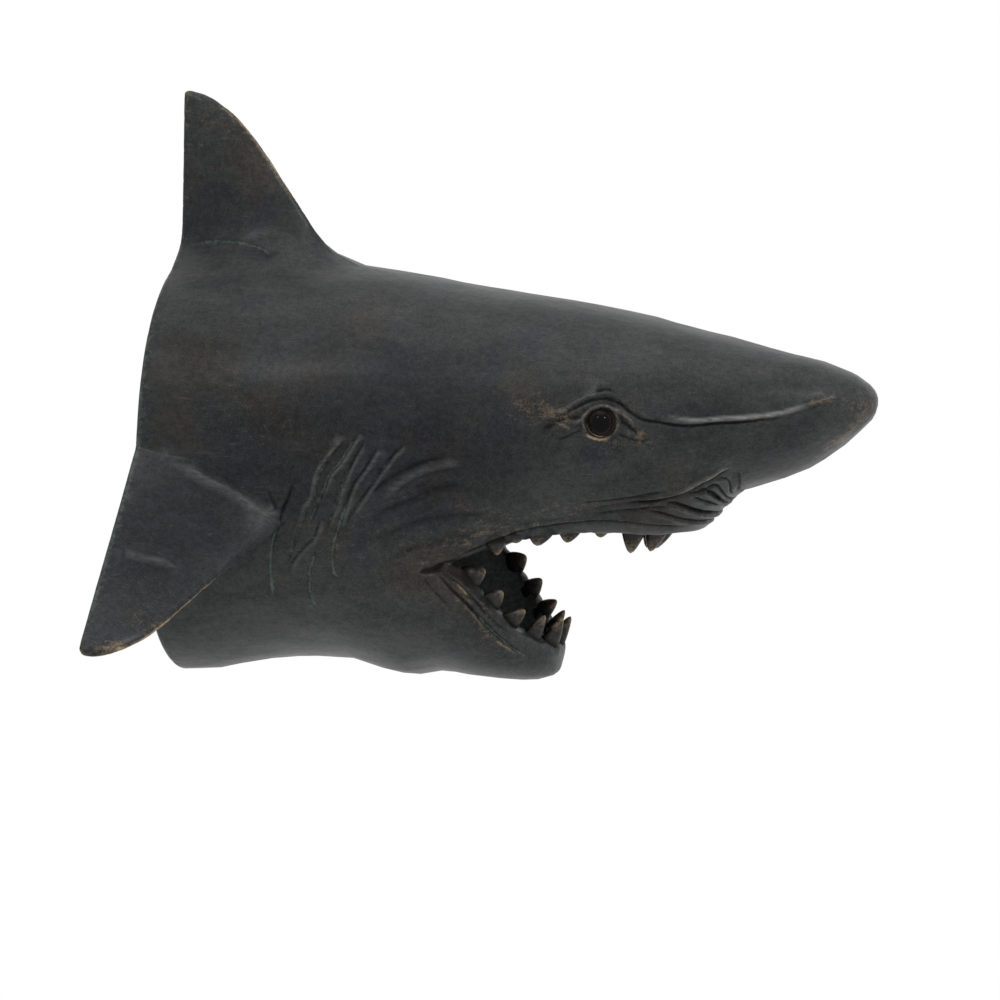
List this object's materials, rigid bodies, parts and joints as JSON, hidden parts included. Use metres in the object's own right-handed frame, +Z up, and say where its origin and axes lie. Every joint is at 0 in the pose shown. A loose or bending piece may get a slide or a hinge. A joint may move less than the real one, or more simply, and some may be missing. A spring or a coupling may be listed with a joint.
{
  "type": "wall-mounted shark head",
  "caption": "Wall-hung sculpture of a shark's head and fore body, mouth open, with dorsal and pectoral fins, glass eyes, toothed jaws and a flat back with a keyhole.",
  "frame": {"origin": "middle of the flat back, on the wall plane", "axes": "+X from the wall to the nose, +Z up, +Y to the shark's left"},
  "size_m": [0.4456, 0.4613, 0.3612],
  "materials": {
    "bronzed_resin": "cast resin with a dark bronze patina, rubbed brown on the edges",
    "black_glass": "polished"
  },
  "bodies": {
    "root": {"shark_head": "bronzed_resin", "right_eye": "black_glass", "left_eye": "black_glass"}
  },
  "joints": []
}
